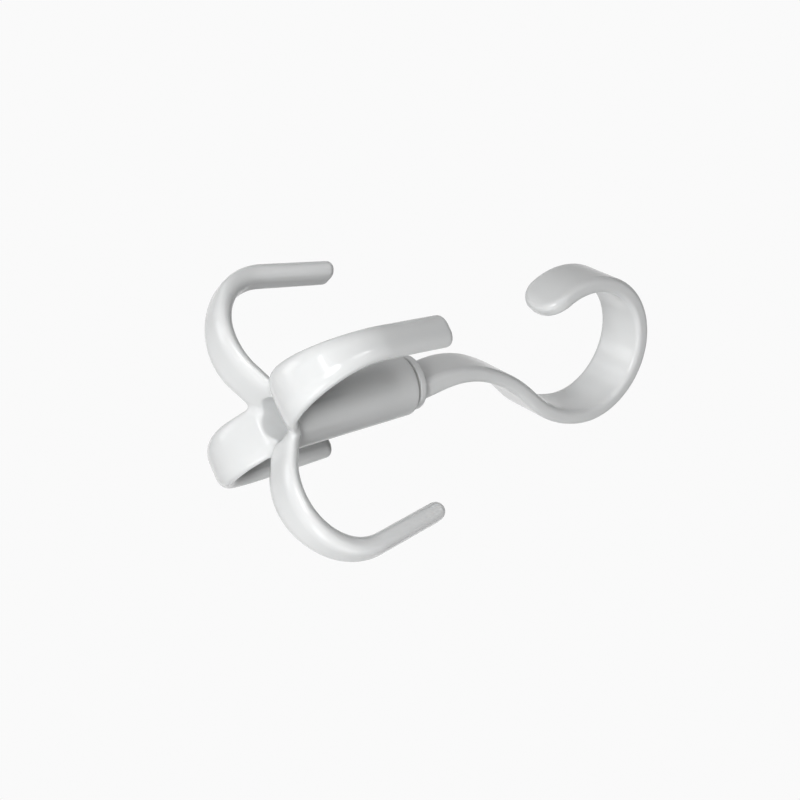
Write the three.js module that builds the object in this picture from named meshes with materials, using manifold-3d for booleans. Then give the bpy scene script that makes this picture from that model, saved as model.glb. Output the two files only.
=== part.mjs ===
// Rotating closet hook: a flat band bent to go over a closet rod, and four claws that turn freely
// below it on a hidden pivot. Millimetres, +Z up. The Z axis is the swivel axis, the band bends in
// the XZ plane, and the origin is where the axis meets the underside of the hook's crown, which
// rests on the rod. Heights below are counted from the barrel's lower rim.

import * as THREE from "three";
import { mergeVertices } from "three/addons/utils/BufferGeometryUtils.js";
import Module from "manifold-3d";

const wasm = await Module();
wasm.setup();

// Barrel of the claws
const barrelLength = 44.9;
const barrelRimRadius = 9.9;
const barrelTopRadius = 9.45;
const barrelTopRounding = 0.8;
const recessRadius = 6.5;
const recessMouthChamfer = 0.3;
const recessDepth = 17;

// One claw's centre line, from its root at the barrel's rim, and its section
const clawCount = 4;
const clawFirstDegrees = 45;
const clawRootRadius = 8.15;
const clawRootRise = 0.75;
const clawRootBurial = 2;
const clawBuriedDraw = 1.6;
const clawRootSag = 0.85;
const clawSagReach = 7;
const clawRootDegrees = -49.5;
const clawSweepRadius = 20.85;
const clawSweepDegrees = 95.7;
const clawCurlRadius = 17.2;
const clawCurlDegrees = 52.7;
const clawStraight = 21.7;
const clawRootWidth = 15.7;
const clawTipWidth = 9.7;
const clawTaperStartShare = 0.18;
const clawTaperEndShare = 0.67;
const clawThickestShare = 0.5;
const clawRootThickness = 3.75;
const clawTipThickness = 5.8;
const clawInnerBulge = 0.2;
const clawInnerRootOvalShare = 0.31;
const clawOuterRootOvalShare = 0.58;
const clawTipOvalShare = 0.78;
const clawTipReach = 2.55;
const clawTipFlat = 0.8;
const clawWebFillet = 2.2;

// Collar and pivot spigot of the hanger hook
const collarRadius = 8.5;
const collarHeight = 2.65;
const collarRounding = 0.7;
const spigotRadius = 5;
const spigotChamfer = 0.6;

// The band's centre line, from the collar's top up the neck, round the loop and out to the tip
const neckOffset = -0.9;
const neckBurial = 1.6;
const neckStraight = 7.3;
const neckLeanDegrees = -9.6;
const neckBendRadius = 33.6;
const neckBendDegrees = 33.3;
const backBendRadius = 51.7;
const backBendDegrees = 21;
const backStraight = 3.6;
const shoulderRadius = 35.4;
const shoulderDegrees = 38.9;
const loopRadius = 21.75;
const loopDegrees = 101;
const tipBendRadius = 23.35;
const tipBendDegrees = 112.3;

// The band's section
const neckWidth = 13.25;
const bandWidth = 18.2;
const bandTipWidth = 17.15;
const bandWidestShare = 0.47;
const neckThickness = 6.5;
const bandThickness = 4.65;
const bandTipThickness = 5.25;
const bandThinnestShare = 0.2;
const bandEdgeRounding = 1.75;
const bandTipReach = 8.1;
const bandTipFullnessShare = 0.92;
const bandTipRounding = 2.3;

// Small parts inside the barrel, and the fits between the pieces
const runningClearance = 0.1;
const axialPlay = 0.9;
const seatGap = 0.1;
const thrustWasherRadius = 7.6;
const steelWasherRadius = 6.1;
const steelWasherThickness = 1.2;
const screwShankRadius = 1.9;
const screwLength = 16;
const screwPointLength = 2.4;
const screwHeadRadius = 3.7;
const screwHeadHeight = 2.5;
const screwHeadRounding = 1.3;
const crossLength = 4;
const crossWidth = 0.9;
const crossDepth = 1.5;
const crossTaperShare = 0.45;

// Smoothness of the faceted surfaces
const roundSides = 48;
const clawStepDegrees = 7;
const bandStepDegrees = 5.5;
const cornerSteps = 4;
const tipSteps = 5;
const cutOverrun = 3;

const radians = THREE.MathUtils.degToRad;
const mix = THREE.MathUtils.lerp;
const fullTurn = 2 * Math.PI;

const collarBase = barrelLength + axialPlay;
const collarTop = collarBase + collarHeight;
const spigotEnd = recessDepth;

// Solids

function solidOf(geometry) {
  const bare = geometry.clone();
  bare.deleteAttribute("normal");
  bare.deleteAttribute("uv");
  const merged = mergeVertices(bare);
  const vertProperties = merged.getAttribute("position").array;
  const triVerts = new Uint32Array(merged.getIndex().array);
  return new wasm.Manifold(new wasm.Mesh({ numProp: 3, vertProperties, triVerts }));
}

function geometryOf(solid) {
  const { vertProperties, triVerts } = solid.getMesh();
  const geometry = new THREE.BufferGeometry();
  geometry.setAttribute("position", new THREE.BufferAttribute(vertProperties, 3));
  geometry.setIndex(new THREE.BufferAttribute(triVerts, 1));
  const faceted = geometry.toNonIndexed();
  faceted.computeVertexNormals();
  return faceted;
}

// A body of revolution round the Z axis, from [radius, height] points that run anticlockwise.
function turned(profile, sides = roundSides) {
  const points = profile.map(([radius, height]) => new THREE.Vector2(radius, height));
  return new THREE.LatheGeometry(points, sides).rotateX(Math.PI / 2);
}

// The points of a quarter of an oval round [x, y], anticlockwise from an angle.
function quarterOval(x, y, reach, depth, fromDegrees) {
  return Array.from({ length: cornerSteps + 1 }, (_, i) => {
    const angle = radians(fromDegrees + (90 * i) / cornerSteps);
    return [x + reach * Math.cos(angle), y + depth * Math.sin(angle)];
  });
}

function quarterRound(radius, height, rounding, fromDegrees) {
  return quarterOval(radius, height, rounding, rounding, fromDegrees);
}

// Bent bands

// Stations along a line of straight and bent stretches in the XZ plane. A bend's degrees are
// positive to the left and its stretch is { radius, degrees }; a straight one is { length }.
function bentLine(x, z, headingDegrees, stretches, stepDegrees) {
  let heading = radians(headingDegrees);
  let travelled = 0;
  const stations = [{ x, z, heading, travelled }];
  for (const { length, radius, degrees } of stretches) {
    const turn = radians(degrees ?? 0);
    const reach = length ?? radius * Math.abs(turn);
    const steps = Math.max(2, Math.ceil(Math.abs(degrees ?? 0) / stepDegrees));
    const chord = length ? reach / steps : 2 * radius * Math.sin(Math.abs(turn) / steps / 2);
    for (let i = 0; i < steps; i++) {
      heading += turn / steps / 2;
      x += chord * Math.cos(heading);
      z += chord * Math.sin(heading);
      heading += turn / steps / 2;
      travelled += reach / steps;
      stations.push({ x, z, heading, travelled });
    }
  }
  return stations;
}

// The end of a band: extra stations, over a reach past the last one, on which each side draws in
// by a corner, and each face draws in by its depth over the last stretch of that reach.
function roundedEnd(last, { reach, corner, faceReach, faceDepth }) {
  return Array.from({ length: tipSteps }, (_, i) => {
    const angle = (((i + 1) / tipSteps) * Math.PI) / 2;
    const advance = reach * Math.sin(angle);
    const overEdge = Math.max(0, (advance - reach + faceReach) / faceReach);
    const thickness = last.thickness - 2 * faceDepth * (1 - Math.sqrt(Math.max(0, 1 - overEdge ** 2)));
    const shrink = thickness / last.thickness;
    return {
      ...last,
      x: last.x + advance * Math.cos(last.heading),
      z: last.z + advance * Math.sin(last.heading),
      width: last.width - 2 * corner * (1 - Math.cos(angle)),
      thickness,
      innerEdge: last.innerEdge.map((size) => size * shrink),
      outerEdge: last.outerEdge.map((size) => size * shrink),
    };
  });
}

// A band's section as points [across, through], anticlockwise. Its inner and its outer face each
// meet the sides in quarter ovals, as long across and as deep as that face's edge says.
function bandSection({ width, thickness, innerEdge, outerEdge }) {
  const corner = ([reach, depth], side, face, fromDegrees) =>
    quarterOval(side * (width / 2 - reach), face * (thickness / 2 - depth), reach, depth, fromDegrees);
  return [
    ...corner(innerEdge, 1, 1, 0),
    ...corner(innerEdge, -1, 1, 90),
    ...corner(outerEdge, -1, -1, 180),
    ...corner(outerEdge, 1, -1, 270),
  ];
}

// A closed band through the stations, as wide along Y and as thick across as each one says.
function bandGeometry(stations) {
  const pointAt = ({ x, z, heading }, [across, through]) =>
    new THREE.Vector3(x - through * Math.sin(heading), across, z + through * Math.cos(heading));
  const rings = stations.map((station) => bandSection(station).map((p) => pointAt(station, p)));
  const points = [...rings.flat(), pointAt(stations[0], [0, 0]), pointAt(stations.at(-1), [0, 0])];
  const sides = rings[0].length;
  const lastRing = (rings.length - 1) * sides;
  const [start, end] = [points.length - 2, points.length - 1];
  const indices = [];
  for (let i = 0; i < sides; i++) {
    const next = (i + 1) % sides;
    for (let ring = 0; ring < lastRing; ring += sides) {
      const farRing = ring + sides;
      indices.push(ring + i, farRing + next, farRing + i);
      indices.push(ring + i, ring + next, farRing + next);
    }
    indices.push(start, next, i);
    indices.push(end, lastRing + i, lastRing + next);
  }
  return new THREE.BufferGeometry().setFromPoints(points).setIndex(indices);
}

// Claws

// Half of the width that a claw gains at its root, where a fillet joins it to the next claw.
function webFlare(distanceFromAxis) {
  const filletEnd = clawRootWidth / 2 + clawWebFillet;
  const inside = THREE.MathUtils.clamp(filletEnd - distanceFromAxis, 0, clawWebFillet * Math.SQRT1_2);
  return clawWebFillet - Math.sqrt(clawWebFillet ** 2 - inside ** 2);
}

function clawStations() {
  const line = bentLine(
    clawRootRadius,
    clawRootRise,
    clawRootDegrees,
    [
      { radius: clawSweepRadius, degrees: clawSweepDegrees },
      { radius: clawCurlRadius, degrees: clawCurlDegrees },
      { length: clawStraight },
    ],
    clawStepDegrees,
  );
  const whole = line.at(-1).travelled;
  const root = line[0];
  const buried = {
    ...root,
    x: root.x - clawRootBurial * Math.cos(root.heading),
    z: root.z - clawRootBurial * Math.sin(root.heading),
    narrower: 2 * clawBuriedDraw * clawRootBurial,
  };
  const stations = [buried, ...line].map((station) => {
    const share = station.travelled / whole;
    const taper = THREE.MathUtils.smoothstep(share, clawTaperStartShare, clawTaperEndShare);
    const flare = 2 * webFlare(station.x) - (station.narrower ?? 0);
    const width = mix(clawRootWidth, clawTipWidth, taper) + flare;
    const thickness = mix(clawRootThickness, clawTipThickness, Math.min(1, share / clawThickestShare));
    const innerOval = mix(clawInnerRootOvalShare, clawTipOvalShare, share);
    const outerOval = mix(clawOuterRootOvalShare, clawTipOvalShare, share);
    const sag = clawRootSag * (1 - THREE.MathUtils.smoothstep(station.travelled, 0, clawSagReach));
    return {
      ...station,
      x: station.x + sag * Math.sin(station.heading),
      z: station.z - sag * Math.cos(station.heading),
      width,
      thickness,
      innerEdge: [(innerOval * width) / 2, thickness / 2 + clawInnerBulge],
      outerEdge: [(outerOval * width) / 2, thickness / 2 - clawInnerBulge],
    };
  });
  const tip = {
    reach: clawTipReach,
    corner: (clawTipOvalShare * clawTipWidth) / 2,
    faceReach: clawTipReach,
    faceDepth: (clawTipThickness - clawTipFlat) / 2,
  };
  return [...stations, ...roundedEnd(stations.at(-1), tip)];
}

function clawBody() {
  const topCorner = barrelTopRadius - barrelTopRounding;
  let body = solidOf(
    turned([
      [0, 0],
      [barrelRimRadius, 0],
      ...quarterRound(topCorner, barrelLength - barrelTopRounding, barrelTopRounding, 0),
      [0, barrelLength],
    ]),
  );
  const claw = bandGeometry(clawStations());
  for (let i = 0; i < clawCount; i++) {
    const angle = radians(clawFirstDegrees) + (fullTurn * i) / clawCount;
    body = body.add(solidOf(claw.clone().rotateZ(angle)));
  }
  const boreRadius = spigotRadius + runningClearance;
  const bore = turned([
    [0, -recessDepth],
    [recessRadius + recessMouthChamfer, -recessDepth],
    [recessRadius + recessMouthChamfer, 0],
    [recessRadius, recessMouthChamfer],
    [recessRadius, recessDepth],
    [boreRadius, recessDepth],
    [boreRadius, barrelLength + cutOverrun],
    [0, barrelLength + cutOverrun],
  ]);
  return body.subtract(solidOf(bore));
}

// Hanger hook

function bandStations() {
  const heading = 90 + neckLeanDegrees;
  const lean = radians(heading);
  const line = bentLine(
    neckOffset - neckBurial / Math.tan(lean),
    collarTop - neckBurial,
    heading,
    [
      { length: neckBurial / Math.sin(lean) + neckStraight },
      { radius: neckBendRadius, degrees: neckBendDegrees },
      { radius: backBendRadius, degrees: backBendDegrees },
      { length: backStraight },
      { radius: shoulderRadius, degrees: -shoulderDegrees },
      { radius: loopRadius, degrees: -loopDegrees },
      { radius: tipBendRadius, degrees: -tipBendDegrees },
    ],
    bandStepDegrees,
  );
  const whole = line.at(-1).travelled;
  const stations = line.map((station) => {
    const share = station.travelled / whole;
    const widening = Math.sin((Math.PI / 2) * Math.min(1, share / bandWidestShare));
    const narrowing = Math.max(0, (share - bandWidestShare) / (1 - bandWidestShare)) ** 2;
    const thinning = THREE.MathUtils.smoothstep(share, 0, bandThinnestShare);
    const thickening = Math.max(0, (share - bandThinnestShare) / (1 - bandThinnestShare));
    return {
      ...station,
      width: mix(neckWidth, bandWidth, widening) + mix(0, bandTipWidth - bandWidth, narrowing),
      thickness:
        mix(neckThickness, bandThickness, thinning) + mix(0, bandTipThickness - bandThickness, thickening),
      innerEdge: [bandEdgeRounding, bandEdgeRounding],
      outerEdge: [bandEdgeRounding, bandEdgeRounding],
    };
  });
  const tip = {
    reach: bandTipReach,
    corner: (bandTipFullnessShare * bandTipWidth) / 2,
    faceReach: bandTipRounding,
    faceDepth: bandTipRounding,
  };
  return [...stations, ...roundedEnd(stations.at(-1), tip)];
}

function hangerHook() {
  const pilotRadius = screwShankRadius + seatGap;
  const pilotTop = spigotEnd + screwLength - steelWasherThickness;
  const collar = turned([
    [0, pilotTop],
    [pilotRadius, pilotTop],
    [pilotRadius, spigotEnd],
    [spigotRadius - spigotChamfer, spigotEnd],
    [spigotRadius, spigotEnd + spigotChamfer],
    [spigotRadius, collarBase],
    [collarRadius, collarBase],
    ...quarterRound(collarRadius - collarRounding, collarTop - collarRounding, collarRounding, 0),
    [0, collarTop],
  ]);
  return solidOf(collar).add(solidOf(bandGeometry(bandStations())));
}

// The height at which the swivel axis meets the underside of the crown.
function rodSeatHeight() {
  const underside = bandStations().map(({ x, z, heading, thickness }) => ({
    x: x + (thickness / 2) * Math.sin(heading),
    z: z - (thickness / 2) * Math.cos(heading),
  }));
  const crossings = [];
  for (let i = 1; i < underside.length; i++) {
    const [before, after] = [underside[i - 1], underside[i]];
    if (before.x < 0 && after.x >= 0) {
      crossings.push(mix(before.z, after.z, -before.x / (after.x - before.x)));
    }
  }
  return Math.max(...crossings);
}

// Small parts of the pivot

function washer(innerRadius, outerRadius, base, height) {
  return turned([
    [innerRadius, base],
    [outerRadius, base],
    [outerRadius, base + height],
    [innerRadius, base + height],
    [innerRadius, base],
  ]);
}

function thrustWasher() {
  const base = barrelLength + seatGap;
  return washer(spigotRadius + seatGap, thrustWasherRadius, base, axialPlay - 2 * seatGap);
}

function retainingWasher() {
  const base = spigotEnd - seatGap - steelWasherThickness;
  return washer(screwShankRadius + seatGap, steelWasherRadius, base, steelWasherThickness);
}

// The cross recess in the screw's head: two bars that narrow towards the bottom of the recess.
function crossCutter(mouth) {
  const [narrow, wide] = [crossTaperShare * Math.SQRT2, Math.SQRT2];
  const bar = new THREE.CylinderGeometry(narrow, wide, 1, 4, 1).rotateY(Math.PI / 4);
  bar.scale(crossLength / 2, crossDepth, crossWidth / 2).rotateX(Math.PI / 2);
  bar.translate(0, 0, mouth + crossDepth / 2);
  return solidOf(bar).add(solidOf(bar.clone().rotateZ(Math.PI / 2)));
}

function retainingScrew() {
  const headTop = spigotEnd - steelWasherThickness - 2 * seatGap;
  const headBase = headTop - screwHeadHeight;
  const shankTop = headTop + screwLength - 2 * seatGap;
  const flatRadius = screwHeadRadius - screwHeadRounding;
  const screw = turned([
    [0, headBase],
    ...quarterRound(flatRadius, headBase + screwHeadRounding, screwHeadRounding, 270),
    [screwHeadRadius, headTop],
    [screwShankRadius, headTop],
    [screwShankRadius, shankTop - screwPointLength],
    [0, shankTop],
  ]);
  return solidOf(screw).subtract(crossCutter(headBase));
}

// Materials

const whitePlastic = { color: 0xeef0f0, roughness: 0.22, metalness: 0 };
const naturalPlastic = { color: 0xd8d6cd, roughness: 0.5, metalness: 0 };
const zincSteel = { color: 0xb9bcc0, roughness: 0.35, metalness: 1 };

function piece(name, geometry, finish) {
  const mesh = new THREE.Mesh(geometry, new THREE.MeshStandardMaterial(finish));
  mesh.name = name;
  return mesh;
}

const hangerSide = new THREE.Group();
hangerSide.add(
  piece("hanger_hook", geometryOf(hangerHook()), whitePlastic),
  piece("thrust_washer", thrustWasher(), naturalPlastic),
  piece("retaining_washer", retainingWasher(), zincSteel),
  piece("retaining_screw", geometryOf(retainingScrew()), zincSteel),
);

const clawSide = new THREE.Group();
clawSide.add(piece("claw_body", geometryOf(clawBody()), whitePlastic));

const closetHook = new THREE.Group();
closetHook.add(hangerSide, clawSide);
closetHook.position.z = -rodSeatHeight();

export default closetHook;
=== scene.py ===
"""Looks of a rotating closet hook: a white moulded band over four claws that swivel below it."""

import math

import bmesh
import bpy
import numpy as np
from mathutils import Matrix, Vector


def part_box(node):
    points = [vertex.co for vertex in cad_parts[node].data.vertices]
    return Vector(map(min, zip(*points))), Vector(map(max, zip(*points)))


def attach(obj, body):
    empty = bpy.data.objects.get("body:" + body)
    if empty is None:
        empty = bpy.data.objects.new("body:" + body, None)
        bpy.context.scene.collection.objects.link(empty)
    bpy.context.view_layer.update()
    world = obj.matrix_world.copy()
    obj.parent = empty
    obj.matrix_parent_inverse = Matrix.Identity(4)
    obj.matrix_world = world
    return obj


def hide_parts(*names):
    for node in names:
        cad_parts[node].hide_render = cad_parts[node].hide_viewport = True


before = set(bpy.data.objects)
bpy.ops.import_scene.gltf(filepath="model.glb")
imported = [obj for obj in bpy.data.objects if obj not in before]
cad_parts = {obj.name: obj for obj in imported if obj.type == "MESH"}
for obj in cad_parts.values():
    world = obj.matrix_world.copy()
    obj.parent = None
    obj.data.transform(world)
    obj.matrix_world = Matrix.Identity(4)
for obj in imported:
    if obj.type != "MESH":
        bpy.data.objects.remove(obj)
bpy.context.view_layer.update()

# Sizes are in millimetres and heights count from the barrel's lower rim, until a mesh is made.
MM = 0.001

# Barrel
BARREL_LENGTH = 44.9
BARREL_RIM_RADIUS = 9.9
BARREL_TOP_RADIUS = 9.45
BARREL_TOP_ROUNDING = 0.9
BARREL_RIM_ROUNDING = 0.4
RECESS_RADIUS = 6.5
RECESS_DEPTH = 17.0
RECESS_MOUTH_ROUNDING = 0.25
BORE_RADIUS = 5.1

# One claw's centre line and section
CLAW_COUNT = 4
CLAW_FIRST_DEGREES = 45.0
CLAW_ROOT = (8.15, 0.75)
CLAW_ROOT_BURIAL = 2.0
CLAW_BURIED_DRAW = 1.6
CLAW_ROOT_SAG = 0.85
CLAW_SAG_REACH = 7.0
CLAW_ROOT_DEGREES = -49.5
CLAW_STRETCHES = [
    {"radius": 20.85, "degrees": 95.7},
    {"radius": 17.2, "degrees": 52.7},
    {"length": 21.7},
]
CLAW_WIDTHS = (15.7, 9.7)
CLAW_TAPER_SHARES = (0.18, 0.67)
CLAW_THICKNESSES = (3.75, 5.8, 5.8)
CLAW_THICKEST_SHARE = 0.5
CLAW_INNER_BULGE = 0.2
CLAW_INNER_ROOT_OVAL_SHARE = 0.31
CLAW_OUTER_ROOT_OVAL_SHARE = 0.58
CLAW_TIP_OVAL_SHARE = 0.78
CLAW_TIP_REACH = 2.55
CLAW_WEB_FILLET = 2.3
CLAW_BARREL_FILLET = 0.9

# Collar and spigot of the hook
AXIAL_PLAY = 0.9
COLLAR_RADIUS = 8.5
COLLAR_HEIGHT = 2.65
COLLAR_ROUNDING = 0.8
COLLAR_LOWER_ROUNDING = 0.3
SPIGOT_RADIUS = 5.0
SPIGOT_CHAMFER = 0.6
PILOT_RADIUS = 2.0
PILOT_LENGTH = 14.8
NECK_FILLET = 0.7

# The band's centre line and section
NECK_OFFSET = -0.9
NECK_BURIAL = 1.6
NECK_LEAN_DEGREES = -9.6
NECK_STRAIGHT = 7.3
BAND_STRETCHES = [
    {"radius": 33.6, "degrees": 33.3},
    {"radius": 51.7, "degrees": 21},
    {"length": 3.6},
    {"radius": 35.4, "degrees": -38.9},
    {"radius": 21.75, "degrees": -101},
    {"radius": 23.35, "degrees": -112.3},
]
BAND_WIDTHS = (13.25, 18.2, 17.15)
BAND_WIDEST_SHARE = 0.47
BAND_THICKNESSES = (6.5, 4.65, 5.25)
BAND_THINNEST_SHARE = 0.2
BAND_EDGE_ROUNDING = 1.75
BAND_TIP_REACH = 8.1
BAND_TIP_FULLNESS_SHARE = 0.92

# Washers and screw
SEAT_GAP = 0.1
THRUST_WASHER_RADIUS = 7.6
STEEL_WASHER_RADIUS = 6.1
STEEL_WASHER_THICKNESS = 1.2
WASHER_EDGE_ROUNDING = 0.18
SCREW_SHANK_RADIUS = 1.9
SCREW_LENGTH = 16.0
SCREW_POINT_LENGTH = 2.4
SCREW_CORE_RADIUS = 1.25
SCREW_PITCH = 1.35
SCREW_THREAD_HALF_SHARE = 0.34
SCREW_HEAD_RADIUS = 3.7
SCREW_HEAD_HEIGHT = 2.5
SCREW_HEAD_ROUNDING = 1.3
CROSS_LENGTH = 4.0
CROSS_WIDTH = 0.9
CROSS_DEPTH = 1.5
CROSS_TAPER_SHARE = 0.45
CROSS_OVERRUN = 0.02

# Fineness of the meshes
MOULDING_CELL = 0.45
BLOCK_CELLS = 4
BLOCK_MARGIN_SHARE = 1.2
CELLS_BELOW = 2
CELLS_ABOVE = 3
GRADIENT_STEP = 0.02
LEAST_GRADIENT_SQUARED = 0.25
SETTLE_ROUNDS = 2
RELAX_ROUNDS = 3
ROUND_SIDES = 96
ROUNDING_STEPS = 6
THREAD_STEPS = 12
TINY = 1e-9

# Materials: the grain of each texture in millimetres, and how strongly it shows
NOISE_RANGE = (0.3, 0.7)

WHITE_TINTS = ((0.825, 0.835, 0.835, 1), (0.845, 0.855, 0.855, 1))
FLOW_MARK = 14.0
FLOW_DETAIL = {"Detail": 3.0, "Roughness": 0.55}
SKIN_MOTTLE = 1.6
SKIN_DETAIL = {"Detail": 5.0, "Roughness": 0.6}
PLASTIC_ROUGHNESS = (0.13, 0.18)
PLASTIC_IOR = 1.45
SCRATCH_GAP = 2.2
SCRATCH_DETAIL = {"Detail": 2.0}
SCRATCH_STRETCH_SHARE = 0.04
SCRATCH_TURN = (0.5, 0.35, 0.2)
SCRATCH_RANGE = (0.66, 0.74)
SCRATCH_DEPTH = 0.004
SCRATCH_STRENGTH = 0.12
SINK_WAVE = 16.0
SINK_DETAIL = {"Detail": 1.0}
SINK_DEPTH = 0.05
SINK_STRENGTH = 0.1
PLASTIC_SUBSURFACE = 0.12
PLASTIC_SCATTER = 1.2
PLASTIC_SCATTER_SHARES = (1.0, 0.95, 0.9)

NYLON_TINTS = ((0.62, 0.6, 0.54, 1), (0.7, 0.68, 0.62, 1))
NYLON_CLOUD = 2.5
NYLON_CLOUD_DETAIL = {"Detail": 4.0}
NYLON_ROUGHNESS = (0.4, 0.55)
NYLON_RING_GAP = 1.2
NYLON_RING_WANDER = {"Distortion": 0.4}
NYLON_RING_DEPTH = 0.02
NYLON_RING_STRENGTH = 0.3

ZINC_TINTS = ((0.52, 0.55, 0.6, 1), (0.68, 0.69, 0.7, 1))
ZINC_CRYSTAL = 0.8
ZINC_GRAIN = 0.3
ZINC_GRAIN_DETAIL = {"Detail": 4.0}
ZINC_ROUGHNESS = (0.24, 0.42)
ZINC_RING_GAP = 0.9
ZINC_RING_WANDER = {"Distortion": 1.0}
ZINC_RING_DEPTH = 0.01
ZINC_RING_STRENGTH = 0.25

# Camera, floor and lights, in metres and watts
LENS = 75.425
SENSOR = 36.0
CLIP_NEAR = 0.01
CLIP_FAR = 100.0
CAMERA_PLACE = (0.20049, 0.36308, -0.37415)
CAMERA_LOOKS = (-0.40761, -0.71983, 0.56187)
PICTURE_RIGHT = (0.02724, 0.60545, 0.79542)
BACKDROP = (0.955, 0.955, 0.955, 1)
FLOOR_DEPTH = 0.6
FLOOR_SIZE = 30.0
FLOOR_GREY = (0.8, 0.8, 0.8, 1)
FLOOR_GLOW_SHARE = 0.6
FILL_WHITE = (1, 1, 1, 1)
FILL_STRENGTH = 0.005
SOFT = 0.5
SPARK = 0.1
AIMS = {
    "hook": (-0.01, 0.0, -0.02),
    "middle": (0.0, 0.0, -0.09),
    "claw_bend": (0.029, 0.032, -0.135),
}
# Each light: what it is aimed at, the way it lies from there, its distance, its width as a share
# of that and its power
LIGHTS = {
    "key_below_camera": ("middle", (0.32, 0.46, -0.83), 0.555, SOFT, 1.83),
    "beside_camera": ("middle", (0.66, 0.73, -0.17), 1.0, SOFT, 1.7),
    "above_camera": ("middle", (0.67, 0.56, 0.48), 1.0, SOFT, 0.17),
    "far_side": ("middle", (-0.68, 0.73, -0.11), 1.0, SOFT, 1.0),
    "far_side_low": ("middle", (-0.83, 0.43, -0.36), 1.0, SOFT, 0.24),
    "under_far_side": ("middle", (-0.5, 0.41, -0.77), 0.601, SOFT, 0.86),
    "under_back": ("middle", (0.08, -0.6, -0.8), 0.577, SOFT, 0.46),
    "under_near_side": ("middle", (0.5, -0.58, -0.64), 0.718, SOFT, 0.29),
    "hook_far_side": ("hook", (-0.63, 0.63, -0.45), 0.3, SOFT, 0.044),
    "hook_near_side": ("hook", (0.66, -0.59, -0.46), 0.3, SOFT, 0.055),
    "spark_below": ("claw_bend", (0.44, 0.08, -0.9), 0.45, SPARK, 0.08),
    "spark_above": ("claw_bend", (0.69, 0.72, 0.08), 1.0, SPARK, 0.6),
}

COLLAR_BASE = BARREL_LENGTH + AXIAL_PLAY
COLLAR_TOP = COLLAR_BASE + COLLAR_HEIGHT
SCREW_SEAT = RECESS_DEPTH - STEEL_WASHER_THICKNESS - 2 * SEAT_GAP
SCREW_HEAD_BASE = SCREW_SEAT - SCREW_HEAD_HEIGHT
RIM_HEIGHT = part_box("thrust_washer")[0].z / MM - BARREL_LENGTH - SEAT_GAP


# Paths: stretches of straight line and arc in a plane

def make_path(start, heading_degrees, stretches):
    """The stretches as segments: where each starts, its heading, its length and its curvature."""
    point = np.array(start, float)
    heading = math.radians(heading_degrees)
    travelled = 0.0
    path = []
    for stretch in stretches:
        turn = math.radians(stretch.get("degrees", 0.0))
        length = stretch.get("length") or stretch["radius"] * abs(turn)
        curvature = turn / length
        forward = np.array([math.cos(heading), math.sin(heading)])
        left = np.array([-forward[1], forward[0]])
        path.append({"start": point, "forward": forward, "left": left, "length": length,
                     "curvature": curvature, "travelled": travelled})
        if curvature:
            centre = point + left / curvature
            swing = np.array([[math.cos(turn), -math.sin(turn)], [math.sin(turn), math.cos(turn)]])
            point = centre + swing @ (point - centre)
        else:
            point = point + forward * length
        heading += turn
        travelled += length
    return path


def path_length(path):
    return path[-1]["travelled"] + path[-1]["length"]


def follow_path(path, u, v):
    """How far along the path each point (u, v) lies, and how far to its left."""
    along, aside = np.zeros_like(u), np.zeros_like(u)
    nearest = np.full_like(u, np.inf)
    for i, seg in enumerate(path):
        ru, rv = u - seg["start"][0], v - seg["start"][1]
        ahead = ru * seg["forward"][0] + rv * seg["forward"][1]
        left = ru * seg["left"][0] + rv * seg["left"][1]
        if seg["curvature"]:
            radius, side = 1 / abs(seg["curvature"]), math.copysign(1, seg["curvature"])
            inward = radius - side * left
            s = radius * np.arctan2(ahead, inward)
            n = side * (radius - np.hypot(ahead, inward))
        else:
            s, n = ahead, left
        over = s - np.clip(s, 0, seg["length"])
        distance = over ** 2 + n ** 2
        closer = distance < nearest
        nearest = np.where(closer, distance, nearest)
        ends = ((i == 0) & (over < 0)) | ((i == len(path) - 1) & (over > 0))
        reached = np.where(ends, s, s - over) + seg["travelled"]
        along = np.where(closer, reached, along)
        aside = np.where(closer, n, aside)
    return along, aside


# Solid fields: negative inside, in millimetres

def smoothstep(x, low, high):
    t = np.clip((x - low) / (high - low), 0, 1)
    return t * t * (3 - 2 * t)


def mix(a, b, share):
    return a + (b - a) * share


def round_both(a, b, rounding):
    """Where both fields are solid, with the edge between them rounded."""
    return np.hypot(np.maximum(a + rounding, 0), np.maximum(b + rounding, 0)) \
        + np.minimum(np.maximum(a, b) + rounding, 0) - rounding


def round_either(a, b, fillet):
    """Where either field is solid, with a fillet between them."""
    return -round_both(-a, -b, fillet)


def ellipsoid_field(parts):
    """About how far a point lies outside an ellipsoid, from [offset, half axis] along each axis."""
    scaled = np.sqrt(sum((offset / axis) ** 2 for offset, axis in parts)) + TINY
    slope = np.sqrt(sum((offset / axis ** 2) ** 2 for offset, axis in parts)) + TINY
    return scaled * (scaled - 1) / slope


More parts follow.
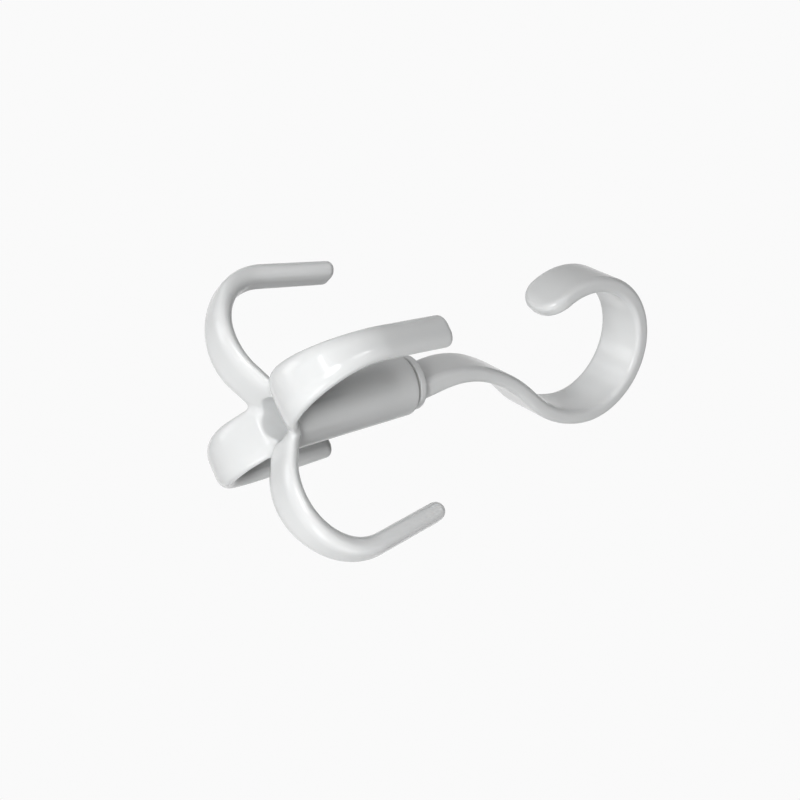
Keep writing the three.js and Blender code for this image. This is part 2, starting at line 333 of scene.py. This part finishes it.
def claw_field(points, angle):
    """One claw: an oval strip whose end is drawn in like its sides."""
    x, y, z = points.T
    outward = x * math.cos(angle) + y * math.sin(angle)
    across = np.abs(y * math.cos(angle) - x * math.sin(angle))
    along, through = follow_path(CLAW_PATH, outward, z)
    length = path_length(CLAW_PATH)
    share = np.clip(along / length, 0, 1)
    half_width = mix(*CLAW_WIDTHS, smoothstep(share, *CLAW_TAPER_SHARES)) / 2
    half_width = half_width + CLAW_BURIED_DRAW * np.minimum(along, 0)
    root, middle, tip = CLAW_THICKNESSES
    thickness = mix(root, middle, np.minimum(share / CLAW_THICKEST_SHARE, 1)) \
        + (tip - middle) * np.maximum(share - CLAW_THICKEST_SHARE, 0) / (1 - CLAW_THICKEST_SHARE)
    sag = CLAW_ROOT_SAG * (1 - smoothstep(along, 0, CLAW_SAG_REACH))
    inner = through + CLAW_INNER_BULGE + sag
    root_share = np.where(inner > 0, CLAW_INNER_ROOT_OVAL_SHARE, CLAW_OUTER_ROOT_OVAL_SHARE)
    oval = mix(root_share, CLAW_TIP_OVAL_SHARE, share) * half_width
    depth = thickness / 2 + np.where(inner > 0, CLAW_INNER_BULGE, -CLAW_INNER_BULGE)
    strip = ellipsoid_field([
        (np.maximum(across - half_width + oval, 0), oval),
        (inner, depth),
        (np.maximum(along - length, 0), CLAW_TIP_REACH),
    ])
    return np.maximum(strip, -along - CLAW_ROOT_BURIAL)


def claws_field(points):
    x, y, z = points.T
    claws = None
    for i in range(CLAW_COUNT):
        claw = claw_field(points, math.radians(CLAW_FIRST_DEGREES) + i * math.tau / CLAW_COUNT)
        claws = claw if claws is None else round_either(claws, claw, CLAW_WEB_FILLET)
    radius = np.hypot(x, y)
    wall = radius - mix(BARREL_RIM_RADIUS, BARREL_TOP_RADIUS, z / BARREL_LENGTH)
    barrel = round_both(wall, z - BARREL_LENGTH, BARREL_TOP_ROUNDING)
    barrel = round_both(barrel, -z, BARREL_RIM_ROUNDING)
    body = round_either(claws, barrel, CLAW_BARREL_FILLET)
    recess = np.maximum(radius - RECESS_RADIUS, z - RECESS_DEPTH)
    bore = np.minimum(recess, radius - BORE_RADIUS)
    return round_both(body, -bore, RECESS_MOUTH_ROUNDING)


def band_field(points):
    x, y, z = points.T
    along, through = follow_path(BAND_PATH, x, z)
    length = path_length(BAND_PATH)
    share = np.clip(along / length, 0, 1)
    neck, widest, tip = BAND_WIDTHS
    width = mix(neck, widest, np.sin(np.minimum(share / BAND_WIDEST_SHARE, 1) * math.pi / 2)) \
        + (tip - widest) * (np.maximum(share - BAND_WIDEST_SHARE, 0) / (1 - BAND_WIDEST_SHARE)) ** 2
    neck, thinnest, end = BAND_THICKNESSES
    thickness = mix(neck, thinnest, smoothstep(share, 0, BAND_THINNEST_SHARE)) \
        + (end - thinnest) * np.maximum(share - BAND_THINNEST_SHARE, 0) / (1 - BAND_THINNEST_SHARE)
    corner = BAND_TIP_FULLNESS_SHARE * tip / 2
    past = along - length
    rounded_tip = ellipsoid_field([
        (past, BAND_TIP_REACH),
        (np.maximum(np.abs(y) - tip / 2 + corner, 0), corner),
    ])
    plan = np.where(past > 0, rounded_tip, np.abs(y) - width / 2)
    band = round_both(plan, np.abs(through) - thickness / 2, BAND_EDGE_ROUNDING)
    return np.maximum(band, -along)


def hook_field(points):
    x, y, z = points.T
    radius = np.hypot(x, y)
    collar = round_both(radius - COLLAR_RADIUS, z - COLLAR_TOP, COLLAR_ROUNDING)
    collar = round_both(collar, COLLAR_BASE - z, COLLAR_LOWER_ROUNDING)
    ends = np.maximum(RECESS_DEPTH - z, z - COLLAR_TOP + COLLAR_ROUNDING)
    spigot = np.maximum(radius - SPIGOT_RADIUS, ends)
    chamfer = (radius - SPIGOT_RADIUS + RECESS_DEPTH - z + SPIGOT_CHAMFER) * math.sqrt(0.5)
    spigot = np.maximum(spigot, chamfer)
    solid = np.minimum(round_either(band_field(points), collar, NECK_FILLET), spigot)
    pilot = np.maximum(radius - PILOT_RADIUS, z - RECESS_DEPTH - PILOT_LENGTH)
    return np.maximum(solid, -pilot)


CLAW_PATH = make_path(CLAW_ROOT, CLAW_ROOT_DEGREES, CLAW_STRETCHES)
NECK_HEADING = math.radians(90 + NECK_LEAN_DEGREES)
BAND_PATH = make_path(
    (NECK_OFFSET - NECK_BURIAL / math.tan(NECK_HEADING), COLLAR_TOP - NECK_BURIAL),
    90 + NECK_LEAN_DEGREES,
    [{"length": NECK_BURIAL / math.sin(NECK_HEADING) + NECK_STRAIGHT}, *BAND_STRETCHES],
)


# Meshes of the mouldings: the surface where a solid field is zero

def sample_field(field, low, cell, counts):
    """The field at a grid's corners, worked out finely only near the surface."""
    blocks = [math.ceil(n / BLOCK_CELLS) for n in counts]
    centres = [low[i] + (np.arange(blocks[i]) + 0.5) * BLOCK_CELLS * cell - cell / 2
               for i in range(3)]
    spots = np.stack(np.meshgrid(*centres, indexing="ij"), -1).reshape(-1, 3)
    values = field(spots).reshape(blocks)
    for axis in range(3):
        values = np.repeat(values, BLOCK_CELLS, axis)
    values = np.ascontiguousarray(values[:counts[0], :counts[1], :counts[2]])
    near = np.argwhere(np.abs(values) < BLOCK_CELLS * cell * BLOCK_MARGIN_SHARE)
    values[tuple(near.T)] = field(near * cell + low)
    return values


def field_gradient(field, points):
    here = field(points)
    steps = [field(points + GRADIENT_STEP * np.eye(3)[i]) - here for i in range(3)]
    return here, np.stack(steps, 1) / GRADIENT_STEP


def settle_on_surface(field, points, rounds):
    for _ in range(rounds):
        here, gradient = field_gradient(field, points)
        squared = np.maximum((gradient ** 2).sum(1), LEAST_GRADIENT_SQUARED)
        points = points - gradient * (here / squared)[:, None]
    return points


def relaxed(field, points, quads):
    """The points spread evenly over the surface, towards the middle of their neighbours."""
    for _ in range(RELAX_ROUNDS):
        pull, count = np.zeros_like(points), np.zeros(len(points))
        for i in range(4):
            a, b = quads[:, i], quads[:, (i + 1) % 4]
            np.add.at(pull, a, points[b])
            np.add.at(pull, b, points[a])
            np.add.at(count, a, 1)
            np.add.at(count, b, 1)
        halfway = (points + pull / count[:, None]) / 2
        points = settle_on_surface(field, halfway, rounds=1)
    return settle_on_surface(field, points, SETTLE_ROUNDS)


def crossing_points(values, cells, corner_shifts):
    """One point in each cell: the mean of where the surface crosses the cell's edges."""
    crossings, weight = np.zeros((len(cells), 3)), np.zeros(len(cells))
    for near in corner_shifts:
        for axis in range(3):
            if near[axis]:
                continue
            far = tuple(c + (n == axis) for n, c in enumerate(near))
            value_near = values[tuple((cells + near).T)]
            value_far = values[tuple((cells + far).T)]
            crossed = (value_near < 0) != (value_far < 0)
            share = np.where(crossed, value_near / np.where(crossed, value_near - value_far, 1), 0)
            spot = cells + np.array(near) + share[:, None] * (np.array(far) - np.array(near))
            crossings += spot * crossed[:, None]
            weight += crossed
    return crossings / weight[:, None]


def crossing_quads(inside, number):
    """A quad round each grid edge that the surface crosses, through the cells that share it."""
    quads = []
    for axis in range(3):
        ahead, behind = [slice(None)] * 3, [slice(None)] * 3
        ahead[axis], behind[axis] = slice(1, None), slice(None, -1)
        edges = np.argwhere(inside[tuple(ahead)] != inside[tuple(behind)])
        step_p = np.eye(3, dtype=int)[(axis + 1) % 3]
        step_q = np.eye(3, dtype=int)[(axis + 2) % 3]
        ring = np.stack([number[tuple((edges - p * step_p - q * step_q).T)]
                         for p, q in ((0, 0), (1, 0), (1, 1), (0, 1))], 1)
        outward = inside[tuple(edges.T)]
        ring[~outward] = ring[~outward][:, ::-1]
        quads.append(ring)
    return np.concatenate(quads)


def field_mesh(name, field, low, high, cell):
    """A closed quad mesh of the field's surface inside the box."""
    low = np.array(low, float) - CELLS_BELOW * cell
    counts = np.ceil((np.array(high) - low) / cell).astype(int) + CELLS_ABOVE
    values = sample_field(field, low, cell, counts)
    inside = values < 0
    corner_shifts = [(i, j, k) for i in (0, 1) for j in (0, 1) for k in (0, 1)]
    size = counts - 1
    solid_corners = sum(inside[i:i + size[0], j:j + size[1], k:k + size[2]].astype(int)
                        for i, j, k in corner_shifts)
    cells = np.argwhere((solid_corners > 0) & (solid_corners < len(corner_shifts)))
    number = np.full(size, -1)
    number[tuple(cells.T)] = np.arange(len(cells))
    points = crossing_points(values, cells, corner_shifts) * cell + low
    quads = crossing_quads(inside, number)
    points = relaxed(field, settle_on_surface(field, points, SETTLE_ROUNDS), quads)
    points[:, 2] += RIM_HEIGHT
    mesh = bpy.data.meshes.new(name)
    mesh.from_pydata((points * MM).tolist(), [], quads.tolist())
    mesh.validate()
    mesh.shade_smooth()
    return mesh


def add_piece(name, mesh, body, node, material):
    """Links a piece, lets it ride on its body and stand for its CAD node."""
    piece = bpy.data.objects.new(name, mesh)
    bpy.context.scene.collection.objects.link(piece)
    mesh.materials.append(material)
    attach(piece, body)
    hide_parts(node)
    return piece


# Small turned pieces

def new_ring(bm, spots):
    """Vertices evenly round the Z axis, one for each [radius, height]."""
    turns = [math.tau * i / ROUND_SIDES for i in range(ROUND_SIDES)]
    return [bm.verts.new((radius * math.cos(t), radius * math.sin(t), height))
            for t, (radius, height) in zip(turns, spots)]


def turned_mesh(name, profile):
    """A closed body of revolution round the Z axis, from [radius, height] points in order."""
    bm = bmesh.new()
    rings = [new_ring(bm, [spot] * ROUND_SIDES) for spot in profile]
    for near, far in zip(rings, rings[1:] + rings[:1]):
        for i in range(ROUND_SIDES):
            j = (i + 1) % ROUND_SIDES
            bm.faces.new((near[i], near[j], far[j], far[i]))
    bmesh.ops.recalc_face_normals(bm, faces=bm.faces)
    return finished_mesh(name, bm)


def finished_mesh(name, bm):
    bmesh.ops.translate(bm, verts=bm.verts, vec=(0, 0, RIM_HEIGHT))
    bmesh.ops.scale(bm, verts=bm.verts, vec=(MM, MM, MM))
    mesh = bpy.data.meshes.new(name)
    bm.to_mesh(mesh)
    bm.free()
    mesh.shade_smooth()
    return mesh


def quarter_round(radius, height, rounding, from_degrees):
    turns = [math.radians(from_degrees + 90 * i / ROUNDING_STEPS)
             for i in range(ROUNDING_STEPS + 1)]
    return [(radius + rounding * math.cos(t), height + rounding * math.sin(t)) for t in turns]


def washer_profile(inner, outer, base, height, rounding):
    low, high = base + rounding, base + height - rounding
    return [
        *quarter_round(inner + rounding, low, rounding, 180),
        *quarter_round(outer - rounding, low, rounding, 270),
        *quarter_round(outer - rounding, high, rounding, 0),
        *quarter_round(inner + rounding, high, rounding, 90),
    ]


def thread_radius(turn_share, height, length):
    """The threaded shank's radius at a share of a turn, at a height above the head."""
    phase = (height / SCREW_PITCH + turn_share) % 1
    crest = max(0.0, 1 - abs(phase - 0.5) / SCREW_THREAD_HALF_SHARE)
    taper = min(1.0, (length - height) / SCREW_POINT_LENGTH)
    start = min(1.0, height / SCREW_PITCH)
    return taper * (SCREW_CORE_RADIUS + (SCREW_SHANK_RADIUS - SCREW_CORE_RADIUS) * crest * start)


def screw_mesh(name):
    """A pan head screw, its head down, with one helical thread and a point."""
    flat = SCREW_HEAD_RADIUS - SCREW_HEAD_ROUNDING
    head = [
        *quarter_round(flat, SCREW_HEAD_BASE + SCREW_HEAD_ROUNDING, SCREW_HEAD_ROUNDING, 270),
        *quarter_round(SCREW_HEAD_RADIUS - WASHER_EDGE_ROUNDING, SCREW_SEAT - WASHER_EDGE_ROUNDING,
                       WASHER_EDGE_ROUNDING, 0),
        (SCREW_CORE_RADIUS, SCREW_SEAT),
    ]
    length = SCREW_LENGTH - 2 * SEAT_GAP
    rows = int(length / SCREW_PITCH * THREAD_STEPS)
    outline = [[spot] * ROUND_SIDES for spot in head]
    for row in range(1, rows):
        rise = length * row / rows
        outline.append([(thread_radius(i / ROUND_SIDES, rise, length), SCREW_SEAT + rise)
                        for i in range(ROUND_SIDES)])
    bm = bmesh.new()
    rings = [new_ring(bm, spots) for spots in outline]
    bottom = bm.verts.new((0, 0, SCREW_HEAD_BASE))
    point = bm.verts.new((0, 0, SCREW_SEAT + length))
    for i in range(ROUND_SIDES):
        j = (i + 1) % ROUND_SIDES
        for near, far in zip(rings, rings[1:]):
            bm.faces.new((near[i], near[j], far[j], far[i]))
        bm.faces.new((bottom, rings[0][j], rings[0][i]))
        bm.faces.new((point, rings[-1][i], rings[-1][j]))
    bmesh.ops.recalc_face_normals(bm, faces=bm.faces)
    return finished_mesh(name, bm)


def cut_cross(screw):
    """Cuts the tapered cross recess out of the screw's head."""
    middle = SCREW_HEAD_BASE + CROSS_DEPTH / 2 - CROSS_OVERRUN
    half_slot = (CROSS_LENGTH / 2, CROSS_WIDTH / 2, CROSS_DEPTH)
    bm = bmesh.new()
    for turn in (0, math.pi / 2):
        made = bmesh.ops.create_cone(bm, cap_ends=True, segments=4, radius1=math.sqrt(2),
                                     radius2=math.sqrt(2) * CROSS_TAPER_SHARE, depth=1,
                                     matrix=Matrix.Rotation(math.pi / 4, 4, "Z"))
        bmesh.ops.scale(bm, verts=made["verts"], vec=half_slot)
        bmesh.ops.rotate(bm, verts=made["verts"], matrix=Matrix.Rotation(turn, 3, "Z"))
        bmesh.ops.translate(bm, verts=made["verts"], vec=(0, 0, middle))
    cutter = bpy.data.objects.new("cross_cutter", finished_mesh("cross_cutter", bm))
    bpy.context.scene.collection.objects.link(cutter)
    cut = screw.modifiers.new("cross", "BOOLEAN")
    cut.operation = "DIFFERENCE"
    cut.solver = "EXACT"
    cut.object = cutter
    cut.use_self = True
    bpy.context.view_layer.update()
    cut_screw = screw.evaluated_get(bpy.context.evaluated_depsgraph_get())
    mesh = bpy.data.meshes.new_from_object(cut_screw)
    screw.modifiers.clear()
    screw.data = mesh
    bpy.data.objects.remove(cutter)


# Materials

def node(nodes, kind, inputs=None, **settings):
    made = nodes.new(kind)
    for key, value in settings.items():
        setattr(made, key, value)
    for key, value in (inputs or {}).items():
        made.inputs[key].default_value = value
    return made


class Surface:
    """A material while it is put together. Its textures stay fixed to the piece."""

    def __init__(self, name):
        self.material = bpy.data.materials.new(name)
        self.material.use_nodes = True
        self.nodes = self.material.node_tree.nodes
        self.shader = self.nodes["Principled BSDF"]
        self.place = self.add("ShaderNodeTexCoord").outputs["Object"]

    def add(self, kind, inputs=None, **settings):
        return node(self.nodes, kind, inputs, **settings)

    def link(self, source, target):
        self.material.node_tree.links.new(source, target)

    def texture(self, kind, grain, inputs=None, place=None, **settings):
        """A texture with marks of about this grain, in millimetres."""
        made = self.add(kind, {"Scale": 1 / (grain * MM), **(inputs or {})}, **settings)
        self.link(self.place if place is None else place, made.inputs["Vector"])
        return made

    def stretched_place(self, scale, turn):
        made = self.add("ShaderNodeMapping", {"Scale": scale, "Rotation": turn})
        self.link(self.place, made.inputs["Vector"])
        return made.outputs["Vector"]

    def spread(self, source, from_range, to_range):
        """A texture's value, spread from one range to another."""
        made = self.add("ShaderNodeMapRange", {
            "From Min": from_range[0], "From Max": from_range[1],
            "To Min": to_range[0], "To Max": to_range[1]})
        self.link(source, made.inputs["Value"])
        return made.outputs["Result"]

    def tint(self, share, tints):
        made = self.add("ShaderNodeMix", {"A": tints[0], "B": tints[1]}, data_type="RGBA")
        self.link(share, made.inputs["Factor"])
        self.link(made.outputs["Result"], self.shader.inputs["Base Color"])

    def bump(self, height, strength, depth):
        made = self.add("ShaderNodeBump", {"Strength": strength, "Distance": depth * MM})
        self.link(height, made.inputs["Height"])
        return made

    def turning_rings(self, gap, wander, strength, depth):
        """The fine rings that a lathe leaves."""
        rings = self.texture("ShaderNodeTexWave", gap, wander,
                             wave_type="RINGS", rings_direction="Z")
        bump = self.bump(rings.outputs["Fac"], strength, depth)
        self.link(bump.outputs["Normal"], self.shader.inputs["Normal"])


def white_plastic(name):
    """Gloss white moulding: faint flow marks, a skin that varies in gloss, hairline scratches."""
    surface = Surface(name)
    shader = surface.shader
    flow = surface.texture("ShaderNodeTexNoise", FLOW_MARK, FLOW_DETAIL)
    surface.tint(surface.spread(flow.outputs["Fac"], NOISE_RANGE, (0.0, 1.0)), WHITE_TINTS)

    skin = surface.texture("ShaderNodeTexNoise", SKIN_MOTTLE, SKIN_DETAIL)
    roughness = surface.spread(skin.outputs["Fac"], NOISE_RANGE, PLASTIC_ROUGHNESS)
    surface.link(roughness, shader.inputs["Roughness"])

    stretched = surface.stretched_place((1.0, 1.0, SCRATCH_STRETCH_SHARE), SCRATCH_TURN)
    scratch = surface.texture("ShaderNodeTexNoise", SCRATCH_GAP, SCRATCH_DETAIL, stretched)
    scratches = surface.spread(scratch.outputs["Fac"], SCRATCH_RANGE, (1.0, 0.0))
    fine = surface.bump(scratches, SCRATCH_STRENGTH, SCRATCH_DEPTH)
    sink = surface.texture("ShaderNodeTexNoise", SINK_WAVE, SINK_DETAIL)
    waves = surface.bump(sink.outputs["Fac"], SINK_STRENGTH, SINK_DEPTH)
    surface.link(fine.outputs["Normal"], waves.inputs["Normal"])
    surface.link(waves.outputs["Normal"], shader.inputs["Normal"])

    shader.inputs["IOR"].default_value = PLASTIC_IOR
    shader.inputs["Subsurface Weight"].default_value = PLASTIC_SUBSURFACE
    shader.inputs["Subsurface Radius"].default_value = PLASTIC_SCATTER_SHARES
    shader.inputs["Subsurface Scale"].default_value = PLASTIC_SCATTER * MM
    return surface.material


def natural_plastic(name):
    """Uncoloured nylon: satin, slightly clouded, with turning rings on its faces."""
    surface = Surface(name)
    cloud = surface.texture("ShaderNodeTexNoise", NYLON_CLOUD, NYLON_CLOUD_DETAIL).outputs["Fac"]
    surface.tint(cloud, NYLON_TINTS)
    surface.turning_rings(NYLON_RING_GAP, NYLON_RING_WANDER, NYLON_RING_STRENGTH, NYLON_RING_DEPTH)
    roughness = surface.spread(cloud, NOISE_RANGE, NYLON_ROUGHNESS)
    surface.link(roughness, surface.shader.inputs["Roughness"])
    return surface.material


def zinc_steel(name):
    """Bright zinc plating: crystalline patches, a faint blue cast and fine turning marks."""
    surface = Surface(name)
    crystals = surface.texture("ShaderNodeTexVoronoi", ZINC_CRYSTAL)
    surface.tint(crystals.outputs["Distance"], ZINC_TINTS)
    surface.shader.inputs["Metallic"].default_value = 1.0
    grain = surface.texture("ShaderNodeTexNoise", ZINC_GRAIN, ZINC_GRAIN_DETAIL)
    roughness = surface.spread(grain.outputs["Fac"], NOISE_RANGE, ZINC_ROUGHNESS)
    surface.link(roughness, surface.shader.inputs["Roughness"])
    surface.turning_rings(ZINC_RING_GAP, ZINC_RING_WANDER, ZINC_RING_STRENGTH, ZINC_RING_DEPTH)
    return surface.material


# Pieces

def add_moulding(name, field, body, node_name, material):
    """A moulding's smooth surface, worked out inside its CAD node's box."""
    low, high = [np.array(corner) / MM - (0, 0, RIM_HEIGHT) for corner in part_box(node_name)]
    mesh = field_mesh(name, field, low, high, MOULDING_CELL)
    add_piece(name, mesh, body, node_name, material)


def add_washer(name, profile, node_name, material):
    add_piece(name, turned_mesh(name, profile), "hanger", node_name, material)


def build_pieces():
    claws_white = white_plastic("gloss_white_claws")
    hook_white = white_plastic("gloss_white_hook")
    nylon = natural_plastic("natural_nylon")
    zinc = zinc_steel("bright_zinc")
    add_moulding("claws_and_barrel", claws_field, "claws", "claw_body", claws_white)
    add_moulding("hook_band", hook_field, "hanger", "hanger_hook", hook_white)

    thrust = washer_profile(SPIGOT_RADIUS + SEAT_GAP, THRUST_WASHER_RADIUS,
                            BARREL_LENGTH + SEAT_GAP,
                            AXIAL_PLAY - 2 * SEAT_GAP, WASHER_EDGE_ROUNDING)
    add_washer("nylon_thrust_washer", thrust, "thrust_washer", nylon)
    steel = washer_profile(PILOT_RADIUS, STEEL_WASHER_RADIUS,
                           RECESS_DEPTH - SEAT_GAP - STEEL_WASHER_THICKNESS,
                           STEEL_WASHER_THICKNESS, WASHER_EDGE_ROUNDING)
    add_washer("steel_retaining_washer", steel, "retaining_washer", zinc)
    screw = add_piece("pan_head_screw", screw_mesh("pan_head_screw"), "hanger",
                      "retaining_screw", zinc)
    cut_cross(screw)


# Camera, floor and lights

def add_camera():
    data = bpy.data.cameras.new("camera")
    data.sensor_width, data.lens = SENSOR, LENS
    data.clip_start, data.clip_end = CLIP_NEAR, CLIP_FAR
    camera = bpy.data.objects.new("camera", data)
    bpy.context.scene.collection.objects.link(camera)
    back = -Vector(CAMERA_LOOKS).normalized()
    right = Vector(PICTURE_RIGHT).normalized()
    up = back.cross(right)
    turn = Matrix((right, up, back)).transposed().to_4x4()
    camera.matrix_world = Matrix.Translation(CAMERA_PLACE) @ turn
    bpy.context.scene.camera = camera


def seen_directly(nodes, links):
    """1 for the rays that show a surface or its reflection, and 0 for those that light others."""
    path = node(nodes, "ShaderNodeLightPath")
    shown = path.outputs["Is Camera Ray"]
    for way in ("Is Glossy Ray", "Is Transmission Ray"):
        either = node(nodes, "ShaderNodeMath", operation="MAXIMUM")
        links.new(shown, either.inputs[0])
        links.new(path.outputs[way], either.inputs[1])
        shown = either.outputs[0]
    return shown


def set_world():
    world = bpy.data.worlds.new("studio")
    bpy.context.scene.world = world
    world.use_nodes = True
    nodes, links = world.node_tree.nodes, world.node_tree.links
    nodes.clear()
    pale = node(nodes, "ShaderNodeBackground", {"Color": BACKDROP, "Strength": 1.0})
    fill = node(nodes, "ShaderNodeBackground", {"Color": FILL_WHITE, "Strength": FILL_STRENGTH})
    either = node(nodes, "ShaderNodeMixShader")
    links.new(seen_directly(nodes, links), either.inputs[0])
    links.new(fill.outputs[0], either.inputs[1])
    links.new(pale.outputs[0], either.inputs[2])
    output = node(nodes, "ShaderNodeOutputWorld")
    links.new(either.outputs[0], output.inputs["Surface"])


def add_floor():
    bm = bmesh.new()
    bmesh.ops.create_grid(bm, x_segments=1, y_segments=1, size=FLOOR_SIZE / 2)
    bmesh.ops.translate(bm, verts=bm.verts, vec=(0, 0, -FLOOR_DEPTH))
    mesh = bpy.data.meshes.new("floor")
    bm.to_mesh(mesh)
    bm.free()
    floor = bpy.data.objects.new("floor", mesh)
    bpy.context.scene.collection.objects.link(floor)
    material = bpy.data.materials.new("pale_floor")
    material.use_nodes = True
    nodes, links = material.node_tree.nodes, material.node_tree.links
    nodes.clear()
    matt = node(nodes, "ShaderNodeBsdfDiffuse", {"Color": FLOOR_GREY})
    glow = node(nodes, "ShaderNodeEmission", {"Color": BACKDROP})
    share = node(nodes, "ShaderNodeMath", {1: FLOOR_GLOW_SHARE}, operation="MULTIPLY")
    links.new(seen_directly(nodes, links), share.inputs[0])
    either = node(nodes, "ShaderNodeMixShader")
    links.new(share.outputs[0], either.inputs[0])
    links.new(matt.outputs[0], either.inputs[1])
    links.new(glow.outputs[0], either.inputs[2])
    output = node(nodes, "ShaderNodeOutputMaterial")
    links.new(either.outputs[0], output.inputs["Surface"])
    mesh.materials.append(material)


def add_lights():
    for name, (aim, way, distance, width_share, power) in LIGHTS.items():
        data = bpy.data.lights.new(name, "AREA")
        data.shape, data.size, data.energy = "DISK", distance * width_share, power
        light = bpy.data.objects.new(name, data)
        bpy.context.scene.collection.objects.link(light)
        toward = Vector(way).normalized()
        light.location = Vector(AIMS[aim]) + toward * distance
        light.rotation_euler = toward.to_track_quat("Z", "Y").to_euler()
        light.visible_camera = False


bpy.context.scene.view_settings.view_transform = "Standard"
add_camera()
set_world()
add_floor()
add_lights()
build_pieces()
